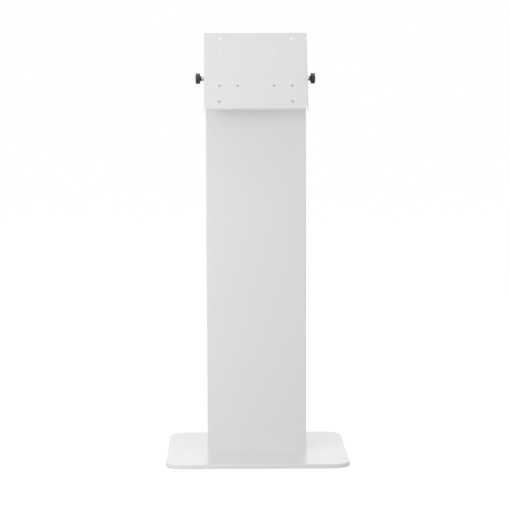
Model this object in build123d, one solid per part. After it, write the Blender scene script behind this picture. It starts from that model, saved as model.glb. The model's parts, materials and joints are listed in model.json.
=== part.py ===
from build123d import *
import os
from math import atan2, cos, hypot, pi, sin, acos

os.makedirs("parts", exist_ok=True)

# Kiosk floor stand with a tilting screen plate.
# Millimetres, +Z up, the front faces -Y, the origin is on the floor under the middle of the base.

# ---- driving dimensions -------------------------------------------------------------------------
BASE_W = 508.0          # base plate, left to right
BASE_D = 432.0          # base plate, front to back
BASE_T = 12.0           # steel plate thickness
BASE_R = 46.0           # plan radius of the base corners
BASE_EDGE = 2.0         # rounding of the top edge
BASE_BREAK = 0.6        # bevel of the bottom edge
PAD_T = 1.5             # rubber pads that lift the plate off the floor
PAD_W = 64.0
PAD_D = 36.0
PAD_R = 8.0
PAD_X = 194.0           # middle of a pad, to either side
PAD_Y = 166.0

SHEET = 2.0             # folded steel sheet of column and head
BEND_OUT = 3.0          # outside radius of a fold
BEND_IN = 1.0           # inside radius of a fold
COL_W = 280.0           # column, left to right
COL_Y0 = -40.0          # front face of the column
COL_Y1 = 40.0           # back face of the rear cover
COL_TOP = 1106.0        # top of the closing cap
RETURN_W = 22.0         # flanges folded in at the back of the column
CLEAR = 0.1             # fit between parts that slide together

PIVOT_Z = 1064.0        # height of the tilt axis, which lies over the middle of the base
TILT = 29.0             # screen plate leans back this far from vertical
HEAD_W = 286.0          # over the two cheeks
HEAD_H = 241.0          # screen plate along its slope
FACE_N = 69.0           # front of the screen plate to the tilt axis
VESA_DROP = 13.0        # centre of the hole pattern below the tilt axis, along the plate
LIP = 8.0               # folded top and bottom lips
TAIL = 8.0              # cheeks reach this far below the screen plate
CHEEK_R = 30.0          # rounded end of a cheek round the tilt axis
CHEEK_TOP_D = 22.0      # depth of a cheek at its top and bottom corners
CHEEK_LOW_D = 6.0
RELIEF_W = 4.0          # lower corner reliefs between plate and cheek
RELIEF_LOW = 14.0
RELIEF_TOP_W = 1.2      # upper corner reliefs, nearly closed
RELIEF_TOP = 3.5
HOLE_BIG = 4.2          # radius, 200 x 200 holes
HOLE_SMALL = 2.9        # radius, 100 x 100 and 200 x 100 holes
PITCH = 50.0            # half of the 100 mm hole spacing

STUD_R = 4.0            # M8 clamp studs
STUD_HOLE_R = 4.5       # their holes in the column walls
STUD_PAST = 2.0         # stud end beyond the weld nut
STUD_IN_KNOB = 4.5      # stud length inside the lobed part of the knob
NUT_AF = 13.0           # hexagon across flats
NUT_T = 6.5
NUT_BEVEL = 0.55
WASHER_R = 7.5
WASHER_T = 1.6
DISC_R = 24.0           # friction disc between column and cheek
DOUBLER_T = 4.0
DOUBLER_Y = 28.0        # half of its depth
DOUBLER_Z = 20.0        # half of its height
DOUBLER_R = 4.0
KNOB_R = 15.0
KNOB_T = 13.2
HUB_T = 3.6
HUB_R = 9.0             # hub where it meets the lobes
LOBES = 7
SCOOP_R = 5.4           # hollow between two lobes
SCOOP_AT = 19.2         # its centre from the knob's axis
LOBE_ROUND = 1.2

BOLT_R = 4.95           # M10 countersunk base bolts
BOLT_L = 20.0
BOLT_HEAD_R = 9.6
BOLT_HEAD_H = 5.1
BOLT_HOLE_R = 5.4       # clearance hole in the base
BOLT_TAP_R = 5.0        # tapped hole in the foot flange
SINK_R = 10.7           # countersink at the underside of the base
BOLT_HEX_R = 3.0        # half of the socket across flats
BOLT_HEX_H = 4.0
FLANGE_T = 8.0          # foot flange
FLANGE_BREAK = 1.2

M4_HOLE_R = 2.2         # clearance hole of the sheet screws
M4_TAP_R = 2.0
M4_HEX_R = 1.25
M4_HEX_FLOOR = 0.9      # floor of the socket above the seat
CLINCH_R = 2.7          # hole for a clinch nut
COVER_SCREW_L = 9.0
CAP_SCREW_L = 8.0

BASE_TOP = PAD_T + BASE_T
COL_X = COL_W / 2
HEAD_X = HEAD_W / 2
KNOB_FACE = HEAD_X + WASHER_T + NUT_T
SHELL_TOP = COL_TOP - SHEET
SHELL_Y1 = COL_Y1 - SHEET
SHELL_D = SHELL_Y1 - COL_Y0
SHELL_MID = (SHELL_Y1 + COL_Y0) / 2
IN_X = COL_X - SHEET
IN_Y0 = COL_Y0 + SHEET
IN_Y1 = SHELL_Y1 - SHEET
DUCT_X = 0.0
BOLT_XY = [(-105.0, -20.0), (105.0, -20.0), (-105.0, 20.0), (105.0, 20.0)]
COVER_SCREW_X = COL_X - 12.0
COVER_SCREW_Z = [70.0, 385.0, 700.0, 1015.0]
CAP_SCREW_XY = [(-120.0, -26.0), (120.0, -26.0), (-120.0, 24.0), (120.0, 24.0)]
COVER_GAP = 0.5         # rear cover inside the column's outline
COVER_FOOT = 1.5        # rear cover above the base
COVER_R = 2.0
SHEET_BREAK = 0.4
CAP_EDGE = 0.6
RIB_DROP = 18.0         # depth of the welded trays
TRAY_R = 2.5
TRAY_EDGE = 1.8
TRAY_R_IN = 0.8
STIFFENER_Z = 560.0
CABLE_SLOT = (120.0, 44.0)
TOP_HOLE_R = 18.0
TOP_BORE_R = 13.0
OUTLET_Z = 120.0
OUTLET_R = 15.0
OUTLET_BORE_R = 10.5
TIE_Z = [220.0, 400.0, 720.0, 900.0]
TIE_HALF = 10.0         # cable tie mounts, half of the square
TIE_T = 5.5
TIE_R = 2.5
TIE_EDGE = 1.0
TIE_SLOT = (1.5, 3.5, 3.0)      # slot from, slot to, half width
PAST = 1.0              # cutters reach this far beyond the material


# ---- helpers ------------------------------------------------------------------------------------
def block(x0, x1, y0, y1, z0, z1):
    centre = Pos((x0 + x1) / 2, (y0 + y1) / 2, (z0 + z1) / 2)
    return centre * Box(x1 - x0, y1 - y0, z1 - z0)


def rod(axis, a, b, p, q, r):
    # cylinder along X, Y or Z from a to b; p and q are the other two coordinates in X, Y, Z order
    mid = (a + b) / 2
    if axis == "x":
        return Pos(mid, p, q) * Rot(0, 90, 0) * Cylinder(r, abs(b - a))
    if axis == "y":
        return Pos(p, mid, q) * Rot(90, 0, 0) * Cylinder(r, abs(b - a))
    return Pos(p, q, mid) * Cylinder(r, abs(b - a))


def merged(pieces):
    whole = pieces[0]
    for piece in pieces[1:]:
        whole += piece
    return whole


def turned(points, axis):
    # solid of revolution from (distance along the axis, radius) pairs
    if axis == "x":
        outline = Polyline([(s, r) for s, r in points], close=True)
        return revolve(make_face(outline), Axis.X, 360)
    plane_points = [(r, 0, s) for s, r in points]
    outline = Polyline(plane_points, close=True)
    return revolve(make_face(outline), Axis.Z, 360)


def save(part, name):
    part.label = name
    export_step(part, "parts/" + name + ".step")


# ---- base ---------------------------------------------------------------------------------------
def base_plate():
    plate = extrude(RectangleRounded(BASE_W, BASE_D, BASE_R), BASE_T)
    plate = fillet(plate.faces().sort_by(Axis.Z)[-1].edges(), BASE_EDGE)
    plate = chamfer(plate.faces().sort_by(Axis.Z)[0].edges(), BASE_BREAK)
    plate = Pos(0, 0, PAD_T) * plate
    sink = turned([(-PAST, 0), (-PAST, SINK_R), (0, SINK_R), (BOLT_HEAD_H, BOLT_HOLE_R),
                   (BOLT_HEAD_H, 0)], "z")
    for x, y in BOLT_XY:
        plate -= rod("z", PAD_T - PAST, BASE_TOP + PAST, x, y, BOLT_HOLE_R)
        plate -= Pos(x, y, PAD_T) * sink
    return plate


def base_rubber_pads():
    pads = []
    for sx in (-1, 1):
        for sy in (-1, 1):
            pad = extrude(RectangleRounded(PAD_W, PAD_D, PAD_R), PAD_T)
            pads.append(Pos(sx * PAD_X, sy * PAD_Y, 0) * pad)
    return merged(pads)


def base_bolts():
    # countersunk socket screws, from below into the foot flange
    sunk = 0.4
    tip = 0.8
    bolt = turned([(sunk, 0), (sunk, BOLT_HEAD_R), (BOLT_HEAD_H, BOLT_R), (BOLT_L - tip, BOLT_R),
                   (BOLT_L, BOLT_R - tip), (BOLT_L, 0)], "z")
    bolt -= extrude(RegularPolygon(BOLT_HEX_R, 6, major_radius=False), BOLT_HEX_H)
    return merged([Pos(x, y, PAD_T) * bolt for x, y in BOLT_XY])


# ---- column -------------------------------------------------------------------------------------
def foot_flange():
    # solid plate welded inside the foot of the column, tapped for the base bolts
    x = IN_X - CLEAR
    flange = block(-x, x, IN_Y0 + CLEAR, IN_Y1 - CLEAR, BASE_TOP, BASE_TOP + FLANGE_T)
    flange = chamfer(flange.edges().filter_by(Axis.Z), FLANGE_BREAK)
    for bx, by in BOLT_XY:
        flange -= rod("z", BASE_TOP - PAST, BASE_TOP + FLANGE_T + PAST, bx, by, BOLT_TAP_R)
    return flange


def column_shell():
    # front and both sides in one folded sheet, with narrow flanges returned at the back
    outer = RectangleRounded(COL_W, SHELL_D, BEND_OUT)
    inner = RectangleRounded(COL_W - 2 * SHEET, SHELL_D - 2 * SHEET, BEND_IN)
    gap = Pos(0, SHELL_D / 2) * Rectangle(COL_W - 2 * RETURN_W, 4 * SHEET)
    shell = Pos(0, SHELL_MID, BASE_TOP) * extrude(outer - inner - gap, SHELL_TOP - BASE_TOP)
    shell -= rod("x", -COL_X - PAST, COL_X + PAST, 0, PIVOT_Z, STUD_HOLE_R)
    for sx in (-1, 1):
        for z in COVER_SCREW_Z:
            shell -= rod("y", IN_Y1 - PAST, SHELL_Y1 + PAST, sx * COVER_SCREW_X, z, CLINCH_R)
    return shell


def rear_cover():
    x = COL_X - COVER_GAP
    cover = block(-x, x, SHELL_Y1, COL_Y1, BASE_TOP + COVER_FOOT, SHELL_TOP - COVER_GAP)
    cover = fillet(cover.edges().filter_by(Axis.Y), COVER_R)
    cover = chamfer(cover.faces().sort_by(Axis.Y)[-1].edges(), SHEET_BREAK)
    cover -= rod("y", SHELL_Y1 - PAST, COL_Y1 + PAST, DUCT_X, OUTLET_Z, OUTLET_R)
    for sx in (-1, 1):
        for z in COVER_SCREW_Z:
            cover -= rod("y", SHELL_Y1 - PAST, COL_Y1 + PAST, sx * COVER_SCREW_X, z, M4_HOLE_R)
    return cover


def button_screw(length):
    # M4 button head with a hex socket; its head stands above z = 0 and the shank goes down
    screw = turned([(-length, 0), (-length, 1.6), (0.5 - length, 1.97), (0, 1.97), (0, 3.8), (0.7, 3.7),
                    (1.6, 2.9), (2.2, 1.9), (2.2, 0)], "z")
    socket = Pos(0, 0, M4_HEX_FLOOR) * extrude(RegularPolygon(M4_HEX_R, 6, major_radius=False), 2)
    return screw - socket


def rear_cover_screws():
    screws = []
    for sx in (-1, 1):
        for z in COVER_SCREW_Z:
            place = Pos(sx * COVER_SCREW_X, COL_Y1, z) * Rot(-90, 0, 0)
            screws.append(place * button_screw(COVER_SCREW_L))
    return merged(screws)


def rear_clinch_nuts():
    # pressed into the returned flanges for the cover screws
    neck = CLINCH_R - 0.05
    nut = turned([(-2.6, M4_TAP_R), (-2.6, 3.8), (-2.3, 4.1), (0, 4.1), (0, neck), (1.8, neck),
                  (1.8, M4_TAP_R)], "z")
    nuts = []
    for sx in (-1, 1):
        for z in COVER_SCREW_Z:
            nuts.append(Pos(sx * COVER_SCREW_X, IN_Y1, z) * Rot(-90, 0, 0) * nut)
    return merged(nuts)


def tray(z_top):
    # shallow folded tray that fits inside the column, open side down
    w = 2 * (IN_X - CLEAR)
    d = IN_Y1 - IN_Y0 - 2 * CLEAR
    mid = (IN_Y0 + IN_Y1) / 2
    outer = Pos(0, mid, z_top - RIB_DROP) * extrude(RectangleRounded(w, d, TRAY_R), RIB_DROP)
    outer = fillet(outer.faces().sort_by(Axis.Z)[-1].edges(), TRAY_EDGE)
    inside = RectangleRounded(w - 2 * SHEET, d - 2 * SHEET, TRAY_R_IN)
    return outer - Pos(0, mid, z_top - RIB_DROP - PAST) * extrude(inside, RIB_DROP + PAST - SHEET)


def top_rib():
    # welded tray under the cap, tapped for the cap screws
    rib = tray(SHELL_TOP)
    low = SHELL_TOP - SHEET - PAST
    rib -= rod("z", low, SHELL_TOP + PAST, DUCT_X, 0, TOP_HOLE_R)
    for x, y in CAP_SCREW_XY:
        rib -= rod("z", low, SHELL_TOP + PAST, x, y, M4_TAP_R)
    return rib


def column_stiffener():
    # welded tray at mid height with a long hole for the cables
    slot = Pos(0, 0, STIFFENER_Z - SHEET - PAST) * extrude(SlotOverall(*CABLE_SLOT), SHEET + 2 * PAST)
    return tray(STIFFENER_Z) - slot


def top_cap():
    cap = Pos(0, (COL_Y0 + COL_Y1) / 2, SHELL_TOP) * extrude(
        RectangleRounded(COL_W, COL_Y1 - COL_Y0, BEND_OUT), SHEET)
    cap = fillet(cap.faces().sort_by(Axis.Z)[-1].edges(), CAP_EDGE)
    cap -= rod("z", SHELL_TOP - PAST, COL_TOP + PAST, DUCT_X, 0, TOP_HOLE_R)
    for x, y in CAP_SCREW_XY:
        cap -= rod("z", SHELL_TOP - PAST, COL_TOP + PAST, x, y, M4_HOLE_R)
    return cap


def top_cap_screws():
    return merged([Pos(x, y, COL_TOP) * button_screw(CAP_SCREW_L) for x, y in CAP_SCREW_XY])


def grommet(hole_r, bore_r, sheet, lip):
    # rubber ring, outer side up, with its groove from z = -sheet to 0
    profile = [(-sheet - 2.2, bore_r + 0.6), (-sheet - 2.2, hole_r + lip - 1), (-sheet, hole_r + lip),
               (-sheet, hole_r), (0, hole_r), (0, hole_r + lip), (1.4, hole_r + lip - 0.5),
               (2.2, hole_r + lip - 1.6), (2.2, bore_r + 0.6), (1.6, bore_r), (-sheet - 1.6, bore_r)]
    return turned(profile, "z")


def top_cable_grommet():
    return Pos(DUCT_X, 0, COL_TOP) * grommet(TOP_HOLE_R, TOP_BORE_R, 2 * SHEET, 4.0)


def rear_cable_grommet():
    return Pos(DUCT_X, COL_Y1, OUTLET_Z) * Rot(-90, 0, 0) * grommet(OUTLET_R, OUTLET_BORE_R, SHEET, 3.5)


def cable_tie_mounts():
    # moulded mounts stuck to the inside of the front wall
    a = TIE_HALF
    slot_low, slot_high, slot_half = TIE_SLOT
    mount = block(-a, a, 0, TIE_T, -a, a)
    mount = fillet(mount.edges().filter_by(Axis.Y), TIE_R)
    mount = fillet(mount.faces().sort_by(Axis.Y)[-1].edges(), TIE_EDGE)
    mount -= block(-a - PAST, a + PAST, slot_low, slot_high, -slot_half, slot_half)
    return merged([Pos(0, IN_Y0, z) * mount for z in TIE_Z])


# ---- tilt clamp ---------------------------------------------------------------------------------
def hex_nut(x0, bore_r):
    # hexagon nut along X on the tilt axis, with bevelled corners, flats up and down
    corner = NUT_AF / 2 / cos(pi / 6)
    flat = NUT_AF / 2
    prism = Rot(0, 90, 0) * extrude(RegularPolygon(flat, 6, major_radius=False, rotation=30), NUT_T)
    envelope = turned([(0, 0), (0, flat), (NUT_BEVEL, corner), (NUT_T - NUT_BEVEL, corner),
                       (NUT_T, flat), (NUT_T, 0)], "x")
    nut = Pos(x0, 0, PIVOT_Z) * (prism & envelope)
    return nut - rod("x", x0 - PAST, x0 + NUT_T + PAST, 0, PIVOT_Z, bore_r)


def pivot_doubler(side):
    # thick pad welded inside the column wall behind the clamp stud
    a = IN_X - CLEAR
    pad = block(a - DOUBLER_T, a, -DOUBLER_Y, DOUBLER_Y, PIVOT_Z - DOUBLER_Z, PIVOT_Z + DOUBLER_Z)
    pad = fillet(pad.edges().filter_by(Axis.X), DOUBLER_R)
    pad -= rod("x", a - DOUBLER_T - PAST, a + PAST, 0, PIVOT_Z, STUD_HOLE_R)
    return pad if side > 0 else pad.mirror(Plane.YZ)


def weld_nut(side):
    nut = hex_nut(IN_X - CLEAR - DOUBLER_T - NUT_T, STUD_R + CLEAR / 2)
    return nut if side > 0 else nut.mirror(Plane.YZ)


def friction_disc(side):
    # thin nylon disc that fills the gap between column and cheek
    disc = rod("x", COL_X, HEAD_X - SHEET, 0, PIVOT_Z, DISC_R)
    disc -= rod("x", COL_X - PAST, HEAD_X, 0, PIVOT_Z, STUD_R + 3 * CLEAR)
    return disc if side > 0 else disc.mirror(Plane.YZ)


def clamp_washer(side):
    washer = rod("x", HEAD_X, HEAD_X + WASHER_T, 0, PIVOT_Z, WASHER_R)
    washer = chamfer(washer.faces().sort_by(Axis.X)[-1].edges(), 3 * CLEAR)
    washer -= rod("x", HEAD_X - PAST, HEAD_X + WASHER_T + PAST, 0, PIVOT_Z, STUD_R + 2 * CLEAR)
    return washer if side > 0 else washer.mirror(Plane.YZ)


def knob_nut(side):
    nut = hex_nut(HEAD_X + WASHER_T, STUD_R)
    return nut if side > 0 else nut.mirror(Plane.YZ)


def knob_stud(side):
    inner = IN_X - CLEAR - DOUBLER_T - NUT_T - STUD_PAST
    length = KNOB_FACE + HUB_T + STUD_IN_KNOB - inner
    tip = 0.9
    stud = turned([(0, 0), (0, STUD_R - tip), (tip, STUD_R), (length, STUD_R), (length, 0)], "x")
    stud = Pos(inner, 0, PIVOT_Z) * stud
    return stud if side > 0 else stud.mirror(Plane.YZ)


def knob_grip(side):
    # lobed hand knob with a low dome and a tapered hub, moulded round the stud
    s1 = HUB_T
    s2 = HUB_T + KNOB_T
    hub = turned([(0, 0), (0, 6.0), (0.5, 6.5), (s1 - 1.2, 7.2), (s1, HUB_R), (s1 + 1, HUB_R),
                  (s1 + 1, 0)], "x")
    bun = turned([(s1, 0), (s1, 12.4), (s1 + 0.3, 13.4), (s1 + 1.0, 14.3), (s1 + 2.2, KNOB_R),
                  (s2 - 3.0, KNOB_R), (s2 - 1.7, 14.4), (s2 - 0.9, 12.6), (s2 - 0.35, 8.5), (s2, 4.0),
                  (s2, 0)], "x")
    outline = Circle(KNOB_R + PAST)
    for k in range(LOBES):
        a = 2 * pi * (k + 0.5) / LOBES
        outline -= Pos(SCOOP_AT * cos(a), SCOOP_AT * sin(a)) * Circle(SCOOP_R)
    outline = fillet(outline.vertices(), LOBE_ROUND)
    lobes = Rot(0, 90, 0) * extrude(outline, s2 + PAST)
    grip = Pos(KNOB_FACE, 0, PIVOT_Z) * (hub + (bun & lobes))
    grip -= rod("x", HEAD_X, KNOB_FACE + HUB_T + STUD_IN_KNOB, 0, PIVOT_Z, STUD_R)
    return grip if side > 0 else grip.mirror(Plane.YZ)


# ---- tilting head -------------------------------------------------------------------------------
def tangent(y, z, r, side):
    # point where the line from (y, z) touches the circle of radius r round the tilt axis
    d = hypot(y, z)
    a = atan2(z, y) + side * acos(r / d)
    return r * cos(a), r * sin(a)


def cheek_outline():
    z_top = HEAD_H / 2 - VESA_DROP
    z_low = -HEAD_H / 2 - VESA_DROP - TAIL
    top_back = (-FACE_N + CHEEK_TOP_D, z_top)
    low_back = (-FACE_N + CHEEK_LOW_D, z_low)
    t1 = tangent(top_back[0], top_back[1], CHEEK_R, -1)
    t2 = tangent(low_back[0], low_back[1], CHEEK_R, 1)
    outline = Polyline([t1, top_back, (-FACE_N, z_top), (-FACE_N, z_low), low_back, t2], close=True)
    return make_face(outline) + Circle(CHEEK_R)


def screen_plate():
    # one folded sheet: drilled front, two cheeks beside the column, a lip at top and bottom;
    # drawn upright with the tilt axis at the origin, then leaned back
    z_mid = -VESA_DROP
    z_top = z_mid + HEAD_H / 2
    z_low = z_mid - HEAD_H / 2
    depth = 2 * FACE_N
    outer = RectangleRounded(HEAD_W, depth, BEND_OUT)
    inner = RectangleRounded(HEAD_W - 2 * SHEET, depth - 2 * SHEET, BEND_IN)
    ring = outer - inner - Pos(0, FACE_N) * Rectangle(HEAD_W + PAST, 2 * (BEND_OUT + PAST))
    folded = Pos(0, 0, z_low - TAIL) * extrude(ring, HEAD_H + TAIL)
    side_cut = extrude(Plane.YZ * cheek_outline(), HEAD_X + PAST, both=True)
    folded = folded & side_cut
    x_in = HEAD_X - SHEET
    y0 = -FACE_N - PAST
    y1 = -FACE_N + 2 * BEND_OUT
    folded -= block(-x_in, x_in, y0, y1, z_low - TAIL - PAST, z_low + RELIEF_LOW)
    folded -= block(-x_in, x_in, y0, y1, z_top - RELIEF_TOP, z_top + PAST)

    # front panel with both lips, seen from the side as a shallow channel
    channel = RectangleRounded(2 * LIP, HEAD_H, BEND_OUT)
    channel -= RectangleRounded(2 * LIP - 2 * SHEET, HEAD_H - 2 * SHEET, BEND_IN)
    channel = channel & (Pos(-LIP, 0) * Rectangle(2 * LIP, HEAD_H + PAST))
    panel = extrude(Plane.YZ * channel, x_in - RELIEF_W, both=True)
    top_strip = Pos(-LIP, HEAD_H / 2) * Rectangle(4 * LIP, 4 * RELIEF_TOP)
    panel += extrude(Plane.YZ * (channel & top_strip), x_in - RELIEF_TOP_W, both=True)
    head = folded + Pos(0, LIP - FACE_N, z_mid) * panel

    for x, z, r in hole_pattern():
        head -= rod("y", -FACE_N - PAST, -FACE_N + SHEET + PAST, x, z_mid + z, r)
    head -= rod("x", -HEAD_X - PAST, HEAD_X + PAST, 0, 0, STUD_R + 3 * CLEAR)
    return Pos(0, 0, PIVOT_Z) * Rot(-TILT, 0, 0) * head


def hole_pattern():
    holes = []
    for sx in (-1, 1):
        for sz in (-1, 1):
            holes.append((2 * PITCH * sx, 2 * PITCH * sz, HOLE_BIG))
            holes.append((2 * PITCH * sx, PITCH * sz, HOLE_SMALL))
            holes.append((PITCH * sx, PITCH * sz, HOLE_SMALL))
    return holes


# ---- parts --------------------------------------------------------------------------------------
save(base_plate(), "base_plate")
save(base_rubber_pads(), "base_rubber_pads")
save(base_bolts(), "base_bolts")
save(foot_flange(), "foot_flange")
save(column_shell(), "column_shell")
save(rear_cover(), "rear_cover")
save(rear_cover_screws(), "rear_cover_screws")
save(rear_clinch_nuts(), "rear_clinch_nuts")
save(top_rib(), "top_rib")
save(column_stiffener(), "column_stiffener")
save(top_cap(), "top_cap")
save(top_cap_screws(), "top_cap_screws")
save(top_cable_grommet(), "top_cable_grommet")
save(rear_cable_grommet(), "rear_cable_grommet")
save(cable_tie_mounts(), "cable_tie_mounts")
save(screen_plate(), "screen_plate")
for side, word in ((-1, "left"), (1, "right")):
    save(pivot_doubler(side), "pivot_doubler_" + word)
    save(weld_nut(side), "weld_nut_" + word)
    save(friction_disc(side), "friction_disc_" + word)
    save(clamp_washer(side), "clamp_washer_" + word)
    save(knob_nut(side), "knob_nut_" + word)
    save(knob_stud(side), "knob_stud_" + word)
    save(knob_grip(side), "knob_grip_" + word)
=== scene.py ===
import bmesh
import bpy
import json
from math import cos, radians, sin, tau
from mathutils import Matrix, Vector


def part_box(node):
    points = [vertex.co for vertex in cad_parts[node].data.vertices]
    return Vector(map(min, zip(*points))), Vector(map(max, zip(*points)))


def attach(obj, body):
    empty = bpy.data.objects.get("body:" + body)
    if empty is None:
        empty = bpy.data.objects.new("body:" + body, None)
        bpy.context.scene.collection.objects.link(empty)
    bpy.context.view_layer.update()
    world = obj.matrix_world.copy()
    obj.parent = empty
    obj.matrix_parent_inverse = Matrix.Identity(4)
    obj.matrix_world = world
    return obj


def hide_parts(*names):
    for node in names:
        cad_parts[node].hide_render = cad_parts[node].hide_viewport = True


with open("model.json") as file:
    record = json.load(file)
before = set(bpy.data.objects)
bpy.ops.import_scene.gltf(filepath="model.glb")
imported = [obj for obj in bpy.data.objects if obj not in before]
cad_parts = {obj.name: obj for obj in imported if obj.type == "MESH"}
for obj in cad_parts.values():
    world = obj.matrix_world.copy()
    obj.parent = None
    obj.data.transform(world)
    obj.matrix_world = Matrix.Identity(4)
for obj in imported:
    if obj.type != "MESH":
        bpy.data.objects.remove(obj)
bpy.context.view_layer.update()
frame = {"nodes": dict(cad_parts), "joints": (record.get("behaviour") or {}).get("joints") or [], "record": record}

MM = 0.001

# ---- camera: place in metres, angles in degrees, lens in millimetres -----------------------------
CAM_PLACE = Vector((-0.0663, -4.2783, 0.9640))
CAM_PITCH = 5.2989              # looks down by this much
CAM_YAW = 0.8499                # and turns to the right
CAM_ROLL = -0.2044
CAM_LENS = 107.075
CAM_SENSOR = 36.0
CAM_NEAR = 0.1
CAM_FAR = 200.0

# ---- floor and surroundings ----------------------------------------------------------------------
FLOOR_SIZE = 60.0
FLOOR_TONE = 0.5
FLOOR_ROUGH = 0.9
FLOOR_GLOW = 0.28               # the floor's own light, on the object too
FLOOR_LIFT = 0.53               # and what is added where the floor itself is seen
WORLD_SOFT = 0.38               # what lights the object
WORLD_SHINE = 1.56              # what its gloss mirrors
WORLD_SHOWN = 1.0               # what is seen behind it

# ---- lights: name, place and aim in metres, width, height, power in watts, seen in gloss ---------
MIDDLE = (0, 0, 0.7)
LIGHTS = [
    ("strip_left", (-0.9, -1.1, 0.7), MIDDLE, 0.4, 1.8, 9.7, True),
    ("side_left", (-2.6, -1.2, 1.2), MIDDLE, 1.2, 2.2, 4.3, True),
    ("side_right", (2.6, -1.2, 1.2), MIDDLE, 1.2, 2.2, 15.7, True),
    ("top", (0, 0, 3.6), (0, 0, 0), 3.0, 3.0, 32, True),
    ("rear", (0, 2.8, 0.6), MIDDLE, 1.4, 1.8, 11, False),
]

# ---- side knobs, in millimetres; both sides are worked out from the right one --------------------
SHARP_ANGLE = 38                # degrees; softer edges than this are shaded smooth
STUD_SIDES = 32
STUD_R = 4.0
STUD_TIP = 0.9                  # bevel of the stud's end
THREAD_PITCH = 1.25
THREAD_DEPTH = 0.65
THREAD_STEPS = 8                # rings in one turn of the thread
THREAD_FLANK = 2.4              # steepness of the thread's sides
THREAD_ROOT = 0.1               # flat part of its root
HUB_T = 3.6
KNOB_T = 13.2
KNOB_R = 15.0
LOBES = 7
LOBE_SIDES = 24
SCOOP_R = 5.4                   # hollow between two lobes
SCOOP_AT = 19.2                 # its centre from the knob's axis
SCOOP_SOFT = 1.0                # rounding between lobe and hollow
RIM_SOFT = 1.2                  # rounding between hollow and the knob's faces
ROUND_TO = 9.5                  # the knob is round up to this radius, and lobed beyond it
FLASH = 0.08                    # how far the moulding line stands out
BORE_R = 4.05
BORE_DEPTH = 4.5
CORE_R = 0.6                    # radius of the small flats that close the skin

# ---- colours, dark and light end of each finish --------------------------------------------------
WHITE = (0.80, 0.80, 0.80)
WHITE_DRIFT = 0.985             # the coat's darkest places, as a share of its colour
WHITE_ROUGH = (0.288, 0.328)
ZINC = ((0.37, 0.38, 0.40), (0.50, 0.51, 0.52))
PLASTIC = ((0.016, 0.016, 0.017), (0.024, 0.024, 0.025))
RUBBER = ((0.014, 0.014, 0.014), (0.034, 0.033, 0.032))
NYLON = ((0.66, 0.65, 0.60), (0.74, 0.73, 0.69))
NOISE_LOW = 0.3                 # where a noise value mostly lies
NOISE_HIGH = 0.7


def put(name, data):
    piece = bpy.data.objects.new(name, data)
    bpy.context.scene.collection.objects.link(piece)
    return piece


# ---- camera, floor and light ---------------------------------------------------------------------
def make_camera():
    data = bpy.data.cameras.new("camera")
    data.sensor_width = CAM_SENSOR
    data.lens = CAM_LENS
    data.clip_start = CAM_NEAR
    data.clip_end = CAM_FAR
    cam = put("camera", data)
    turn = Matrix.Rotation(-radians(CAM_YAW), 4, "Z")
    tip = Matrix.Rotation(radians(90 - CAM_PITCH), 4, "X")
    roll = Matrix.Rotation(radians(CAM_ROLL), 4, "Z")
    cam.matrix_world = Matrix.Translation(CAM_PLACE) @ turn @ tip @ roll
    bpy.context.scene.camera = cam


def make_floor():
    # pale studio floor; part of its white is its own light, and it shows whiter than it lights
    half = FLOOR_SIZE / 2
    mesh = bpy.data.meshes.new("floor")
    corners = [(-half, -half, 0), (half, -half, 0), (half, half, 0), (-half, half, 0)]
    mesh.from_pydata(corners, [], [(0, 1, 2, 3)])
    mat, nodes, links, shader = new_material("pale_floor")
    shader.inputs["Base Color"].default_value = (FLOOR_TONE, FLOOR_TONE, FLOOR_TONE, 1)
    shader.inputs["Roughness"].default_value = FLOOR_ROUGH
    shader.inputs["Specular IOR Level"].default_value = 0.0
    shader.inputs["Emission Color"].default_value = (1, 1, 1, 1)
    shader.inputs["Emission Strength"].default_value = FLOOR_GLOW
    rays = nodes.new("ShaderNodeLightPath")
    lift = nodes.new("ShaderNodeMath")
    lift.operation = "MULTIPLY"
    lift.inputs[1].default_value = FLOOR_LIFT
    links.new(rays.outputs["Is Camera Ray"], lift.inputs[0])
    white = nodes.new("ShaderNodeEmission")
    links.new(lift.outputs["Value"], white.inputs["Strength"])
    both = nodes.new("ShaderNodeAddShader")
    links.new(shader.outputs["BSDF"], both.inputs[0])
    links.new(white.outputs["Emission"], both.inputs[1])
    links.new(both.outputs["Shader"], nodes["Material Output"].inputs["Surface"])
    mesh.materials.append(mat)
    put("floor", mesh)


def make_world():
    # white light tent; what shows behind the object and in its gloss is brighter than what lights it
    world = bpy.data.worlds.new("studio")
    bpy.context.scene.world = world
    world.use_nodes = True
    nodes, links = world.node_tree.nodes, world.node_tree.links
    rays = nodes.new("ShaderNodeLightPath")

    def white(node, strength):
        node.inputs["Color"].default_value = (1, 1, 1, 1)
        node.inputs["Strength"].default_value = strength
        return node.outputs["Background"]

    def choose(ray, otherwise, chosen):
        mix = nodes.new("ShaderNodeMixShader")
        links.new(rays.outputs[ray], mix.inputs["Fac"])
        links.new(otherwise, mix.inputs[1])
        links.new(chosen, mix.inputs[2])
        return mix.outputs["Shader"]

    soft = white(nodes["Background"], WORLD_SOFT)
    shine = white(nodes.new("ShaderNodeBackground"), WORLD_SHINE)
    shown = white(nodes.new("ShaderNodeBackground"), WORLD_SHOWN)
    lit = choose("Is Glossy Ray", soft, shine)
    links.new(choose("Is Camera Ray", lit, shown), nodes["World Output"].inputs["Surface"])


def make_lights():
    for name, place, target, width, height, power, in_gloss in LIGHTS:
        data = bpy.data.lights.new(name, "AREA")
        data.shape = "RECTANGLE"
        data.size = width
        data.size_y = height
        data.energy = power
        lamp = put(name, data)
        lamp.location = place
        aim = Vector(target) - Vector(place)
        lamp.rotation_euler = aim.to_track_quat("-Z", "Y").to_euler()
        lamp.visible_glossy = in_gloss


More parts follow.
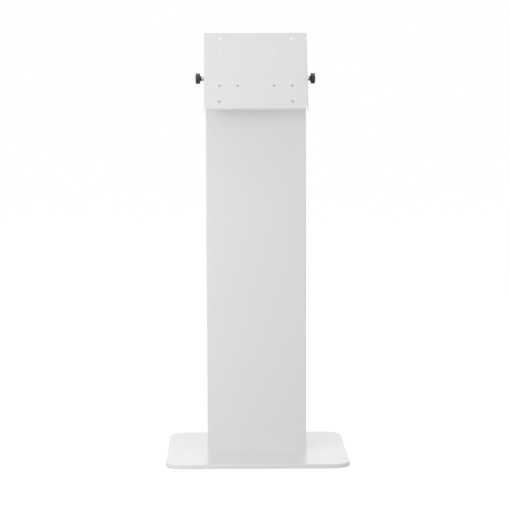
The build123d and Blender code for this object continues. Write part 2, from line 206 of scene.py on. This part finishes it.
# ---- side knobs ----------------------------------------------------------------------------------
def in_mm(metres):
    # to a micron, which takes the mesh's rounding away
    return round(metres / MM, 3)


def span(node):
    # where a right-hand node starts and ends along the tilt axis
    low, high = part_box(node)
    return in_mm(low[0]), in_mm(high[0])


def axis_height():
    tilt = next(joint for joint in frame["joints"] if joint["name"] == "head_tilt")
    return in_mm(tilt["pos_m"][2])


def softer_min(a, b, k):
    # the smaller of two radii, blended over k where they are nearly equal
    h = max(k - abs(a - b), 0.0) / k
    return min(a, b) - h * h * k / 4


def lobed(angle):
    # outline of the knob seen along its axis: a circle with a round hollow between each two lobes
    step = tau / LOBES
    away = ((angle / step) % 1.0 - 0.5) * step
    reach = SCOOP_R ** 2 - (SCOOP_AT * sin(away)) ** 2
    full = KNOB_R - FLASH
    if reach <= 0:
        return full
    return softer_min(full, SCOOP_AT * cos(away) - reach ** 0.5, SCOOP_SOFT)


def ringed_mesh(name, rings, side, material):
    # closed skin round the tilt axis through rings of (distance along the axis, radius, angle)
    axis_z = axis_height()
    count = len(rings[0])
    points = []
    for ring in rings:
        for along, radius, angle in ring:
            across = side * radius * cos(angle)
            up = axis_z + radius * sin(angle)
            points.append((side * along * MM, across * MM, up * MM))
    faces = []
    for i in range(len(rings) - 1):
        for j in range(count):
            k = (j + 1) % count
            faces.append((i * count + j, i * count + k, (i + 1) * count + k, (i + 1) * count + j))
    faces.append(tuple(range(count))[::-1])
    last = (len(rings) - 1) * count
    faces.append(tuple(range(last, last + count)))
    mesh = bpy.data.meshes.new(name)
    mesh.from_pydata(points, [], faces)
    mesh.update()
    bm = bmesh.new()
    bm.from_mesh(mesh)
    bmesh.ops.recalc_face_normals(bm, faces=bm.faces)
    bm.to_mesh(mesh)
    bm.free()
    mesh.polygons.foreach_set("use_smooth", [True] * len(mesh.polygons))
    mesh.set_sharp_from_angle(angle=radians(SHARP_ANGLE))
    mesh.materials.append(material)
    return put(name, mesh)


def grip_outline():
    # half section of the grip, as (distance from the hub's end, radius), from the bore to the cap
    s1 = HUB_T
    s2 = HUB_T + KNOB_T
    mid = (s1 + s2) / 2
    r = KNOB_R - FLASH
    bore = [(BORE_DEPTH + s1, CORE_R), (BORE_DEPTH + s1, BORE_R), (0.15, BORE_R), (0, BORE_R + 0.15)]
    hub = [(0, 5.9), (0.12, 6.2), (0.45, 6.45), (1.4, 6.75), (2.4, 7.0), (3.0, 7.3), (3.5, 7.9),
           (3.85, 8.7)]
    inner_face = [(s1, 10.0), (s1, 12.0), (s1 + 0.12, 12.9), (s1 + 0.35, 13.5), (s1 + 0.8, 14.1),
                  (s1 + 1.4, 14.6)]
    rim = [(s1 + 2.2, r), (mid - 1.5, r), (mid - 0.12, r), (mid, KNOB_R), (mid + 0.12, r),
           (mid + 1.5, r), (s2 - 3.2, r)]
    dome = [(s2 - 2.4, r - 0.15), (s2 - 1.8, r - 0.5), (s2 - 1.3, r - 1.1), (s2 - 0.95, 12.7),
            (s2 - 0.7, 11.2), (s2 - 0.5, 9.8), (s2 - 0.38, 8.6), (s2 - 0.3, 7.6), (s2 - 0.28, 7.2)]
    cap = [(s2 - 0.55, 7.0), (s2 - 0.55, 6.7), (s2 - 0.2, 6.5), (s2 - 0.08, 5.6), (s2 - 0.02, 4.0),
           (s2, 2.2), (s2, CORE_R)]
    return bore + hub + inner_face + rim + dome + cap


def knob_grip(word, side, material):
    # moulded lobed grip: tapered hub, lobes with soft edges and a fine moulding line, low dome, cap
    face, _ = span("knob_grip_right")
    count = LOBES * LOBE_SIDES
    plain = KNOB_R - FLASH
    rings = []
    for along, envelope in grip_outline():
        ring = []
        for j in range(count):
            angle = tau * j / count
            radius = envelope
            if envelope > ROUND_TO:
                flash = max(0.0, envelope - plain)
                radius = softer_min(min(envelope, plain), lobed(angle), RIM_SOFT) + flash
            ring.append((face + along, radius, angle))
        rings.append(ring)
    piece = ringed_mesh("grip_" + word, rings, side, material)
    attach(piece, word + "_knob")
    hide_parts("knob_grip_" + word)


def knob_stud(word, side, material):
    # M8 stud with its thread, right-handed on both sides
    start, end = span("knob_stud_right")
    steps = int((end - start) / THREAD_PITCH * THREAD_STEPS)
    rings = []
    for i in range(steps + 1):
        along = start + (end - start) * i / steps
        limit = min(STUD_R, STUD_R - STUD_TIP + along - start)
        ring = []
        for j in range(STUD_SIDES):
            angle = tau * j / STUD_SIDES
            phase = (along / THREAD_PITCH - angle / tau) % 1.0
            flank = min(1.0, max(0.0, THREAD_FLANK * abs(phase - 0.5) - THREAD_ROOT))
            radius = min(limit, STUD_R - THREAD_DEPTH * (1.0 - flank))
            ring.append((along, radius, angle))
        rings.append(ring)
    piece = ringed_mesh("stud_" + word, rings, side, material)
    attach(piece, word + "_knob")
    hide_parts("knob_stud_" + word)


def make_knobs(finishes):
    for word, side in (("left", -1), ("right", 1)):
        knob_grip(word, side, finishes["black_moulded_plastic"])
        knob_stud(word, side, finishes["zinc_steel"])


# ---- materials; noise scales are in cells per metre, bump heights in metres ----------------------
def new_material(name):
    mat = bpy.data.materials.new(name)
    mat.use_nodes = True
    nodes, links = mat.node_tree.nodes, mat.node_tree.links
    return mat, nodes, links, nodes["Principled BSDF"]


def noise(nodes, links, scale, detail=2.0, roughness=0.5):
    place = nodes.new("ShaderNodeTexCoord")
    tex = nodes.new("ShaderNodeTexNoise")
    tex.inputs["Scale"].default_value = scale
    tex.inputs["Detail"].default_value = detail
    tex.inputs["Roughness"].default_value = roughness
    links.new(place.outputs["Object"], tex.inputs["Vector"])
    return tex.outputs["Fac"]


def ranged(nodes, links, value, low, high):
    remap = nodes.new("ShaderNodeMapRange")
    remap.inputs["From Min"].default_value = NOISE_LOW
    remap.inputs["From Max"].default_value = NOISE_HIGH
    remap.inputs["To Min"].default_value = low
    remap.inputs["To Max"].default_value = high
    links.new(value, remap.inputs["Value"])
    return remap.outputs["Result"]


def clouded(nodes, links, shader, value, dark, light):
    # the colour drifts between two tones
    mix = nodes.new("ShaderNodeMix")
    mix.data_type = "RGBA"
    mix.inputs["A"].default_value = (*dark, 1)
    mix.inputs["B"].default_value = (*light, 1)
    links.new(ranged(nodes, links, value, 0.0, 1.0), mix.inputs["Factor"])
    links.new(mix.outputs["Result"], shader.inputs["Base Color"])


def roughened(nodes, links, shader, value, low, high):
    links.new(ranged(nodes, links, value, low, high), shader.inputs["Roughness"])


def bumped(nodes, links, shader, value, height):
    bump = nodes.new("ShaderNodeBump")
    bump.inputs["Distance"].default_value = height
    links.new(value, bump.inputs["Height"])
    links.new(bump.outputs["Normal"], shader.inputs["Normal"])


def powder_coat():
    # sprayed satin white: faint orange peel, faint drift of tone and gloss
    mat, nodes, links, shader = new_material("white_powder_coat")
    low = tuple(c * WHITE_DRIFT for c in WHITE)
    clouded(nodes, links, shader, noise(nodes, links, 3.0), low, WHITE)
    roughened(nodes, links, shader, noise(nodes, links, 24.0, detail=4.0), *WHITE_ROUGH)
    shader.inputs["IOR"].default_value = 1.5
    bumped(nodes, links, shader, noise(nodes, links, 380.0, detail=1.0), 0.00003)
    return mat


def zinc_plate():
    # dull bright zinc: cloudy tone, uneven gloss, fine grain
    mat, nodes, links, shader = new_material("zinc_plate")
    clouded(nodes, links, shader, noise(nodes, links, 180.0, detail=4.0, roughness=0.6), *ZINC)
    roughened(nodes, links, shader, noise(nodes, links, 320.0, detail=3.0), 0.29, 0.44)
    shader.inputs["Metallic"].default_value = 1.0
    bumped(nodes, links, shader, noise(nodes, links, 1800.0), 0.00001)
    return mat


def black_plastic():
    # spark-eroded mould grain
    mat, nodes, links, shader = new_material("black_moulded_plastic")
    clouded(nodes, links, shader, noise(nodes, links, 90.0, detail=3.0), *PLASTIC)
    roughened(nodes, links, shader, noise(nodes, links, 260.0, detail=3.0), 0.36, 0.5)
    bumped(nodes, links, shader, noise(nodes, links, 1500.0, roughness=0.6), 0.00004)
    return mat


def black_rubber():
    # matt and a little dusty
    mat, nodes, links, shader = new_material("black_rubber")
    clouded(nodes, links, shader, noise(nodes, links, 60.0, detail=5.0, roughness=0.6), *RUBBER)
    shader.inputs["Roughness"].default_value = 0.78
    bumped(nodes, links, shader, noise(nodes, links, 700.0, detail=3.0), 0.00005)
    return mat


def natural_nylon():
    # milky and slightly waxy
    mat, nodes, links, shader = new_material("natural_nylon")
    clouded(nodes, links, shader, noise(nodes, links, 120.0, detail=3.0), *NYLON)
    shader.inputs["Roughness"].default_value = 0.48
    bumped(nodes, links, shader, noise(nodes, links, 900.0), 0.00002)
    return mat


def dress_nodes():
    finishes = {
        "white_powder_coat": powder_coat(),
        "zinc_steel": zinc_plate(),
        "black_rubber": black_rubber(),
        "natural_nylon": natural_nylon(),
        "black_moulded_plastic": black_plastic(),
    }
    slot_of = {s["node"]: s["material_slot"] for s in frame["record"]["subparts"]}
    for name, obj in frame["nodes"].items():
        for material_slot in obj.material_slots:
            material_slot.material = finishes[slot_of[name]]
    return finishes


make_camera()
make_world()
make_lights()
make_floor()
make_knobs(dress_nodes())

bpy.context.scene.view_settings.view_transform = "Standard"
